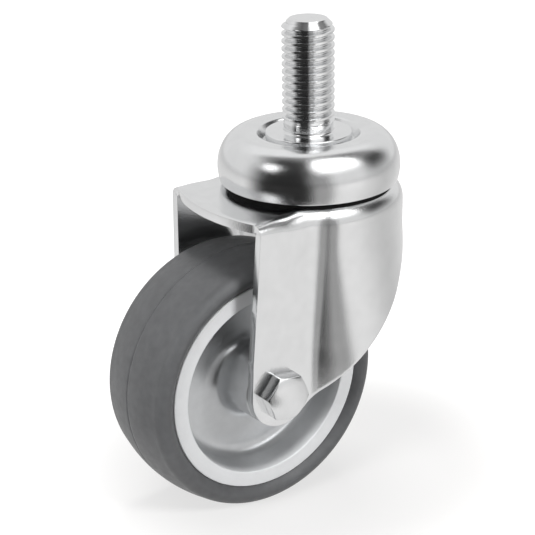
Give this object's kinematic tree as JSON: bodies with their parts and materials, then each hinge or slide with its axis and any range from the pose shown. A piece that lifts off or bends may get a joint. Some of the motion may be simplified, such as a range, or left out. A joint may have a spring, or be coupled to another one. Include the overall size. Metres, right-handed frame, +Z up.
{
  "type": "stem castor",
  "caption": "Swivel castor with a threaded stem, a ball-bearing head, a pressed steel fork and a soft grey wheel on a plain axle.",
  "frame": {"origin": "centre of the flange's top face, where the stem meets what the castor is fixed to", "axes": "+Z up along the stem, which is also the swivel axis; the wheel trails towards -X at rest; the axle lies along Y, with the bolt's head towards -Y"},
  "size_m": [0.0727, 0.0454, 0.1116],
  "materials": {
    "zinc_plate": "bright zinc plate, glossy",
    "race_steel": "turned steel, lightly oiled",
    "ball_steel": "polished hardened steel",
    "black_seal": "satin black plastic",
    "nylon": "natural nylon",
    "grey_plastic": "moulded plastic, semi-gloss",
    "grey_tread": "soft thermoplastic rubber, satin"
  },
  "bodies": {
    "stem": {"threaded_stem": "zinc_plate", "head_cup": "zinc_plate", "lower_race": "race_steel"},
    "swivel": {"fork": "zinc_plate", "dust_seal": "black_seal", "axle_bolt": "zinc_plate", "axle_nut": "zinc_plate", "nut_insert": "nylon", "axle_tube": "race_steel"},
    "wheel": {"wheel_centre": "grey_plastic", "tread": "grey_tread"},
    "upper_balls": {"upper_ball_01": "ball_steel", "upper_ball_02": "ball_steel", "upper_ball_03": "ball_steel", "upper_ball_04": "ball_steel", "upper_ball_05": "ball_steel", "upper_ball_06": "ball_steel", "upper_ball_07": "ball_steel", "upper_ball_08": "ball_steel", "upper_ball_09": "ball_steel", "upper_ball_10": "ball_steel", "upper_ball_11": "ball_steel", "upper_ball_12": "ball_steel", "upper_ball_13": "ball_steel", "upper_ball_14": "ball_steel", "upper_ball_15": "ball_steel", "upper_ball_16": "ball_steel", "upper_ball_17": "ball_steel", "upper_ball_18": "ball_steel"},
    "lower_balls": {"lower_ball_01": "ball_steel", "lower_ball_02": "ball_steel", "lower_ball_03": "ball_steel", "lower_ball_04": "ball_steel", "lower_ball_05": "ball_steel", "lower_ball_06": "ball_steel", "lower_ball_07": "ball_steel", "lower_ball_08": "ball_steel", "lower_ball_09": "ball_steel", "lower_ball_10": "ball_steel", "lower_ball_11": "ball_steel", "lower_ball_12": "ball_steel", "lower_ball_13": "ball_steel", "lower_ball_14": "ball_steel", "lower_ball_15": "ball_steel", "lower_ball_16": "ball_steel", "lower_ball_17": "ball_steel", "lower_ball_18": "ball_steel", "lower_ball_19": "ball_steel"}
  },
  "joints": [
    {"name": "swivel", "type": "hinge", "parent": "stem", "child": "swivel", "pos_m": [0, 0, -0.0128], "axis": [0, 0, 1], "continuous": true},
    {"name": "wheel_spin", "type": "hinge", "parent": "swivel", "child": "wheel", "pos_m": [-0.0198, 0, -0.0546], "axis": [0, 1, 0], "continuous": true},
    {"name": "upper_ball_orbit", "type": "hinge", "parent": "stem", "child": "upper_balls", "pos_m": [0, 0, -0.00455], "axis": [0, 0, 1], "continuous": true},
    {"name": "lower_ball_orbit", "type": "hinge", "parent": "stem", "child": "lower_balls", "pos_m": [0, 0, -0.01135], "axis": [0, 0, 1], "continuous": true}
  ],
  "couplings": [
    {"joint": "upper_ball_orbit", "follows": "swivel", "ratio": 0.5},
    {"joint": "lower_ball_orbit", "follows": "swivel", "ratio": 0.5}
  ]
}
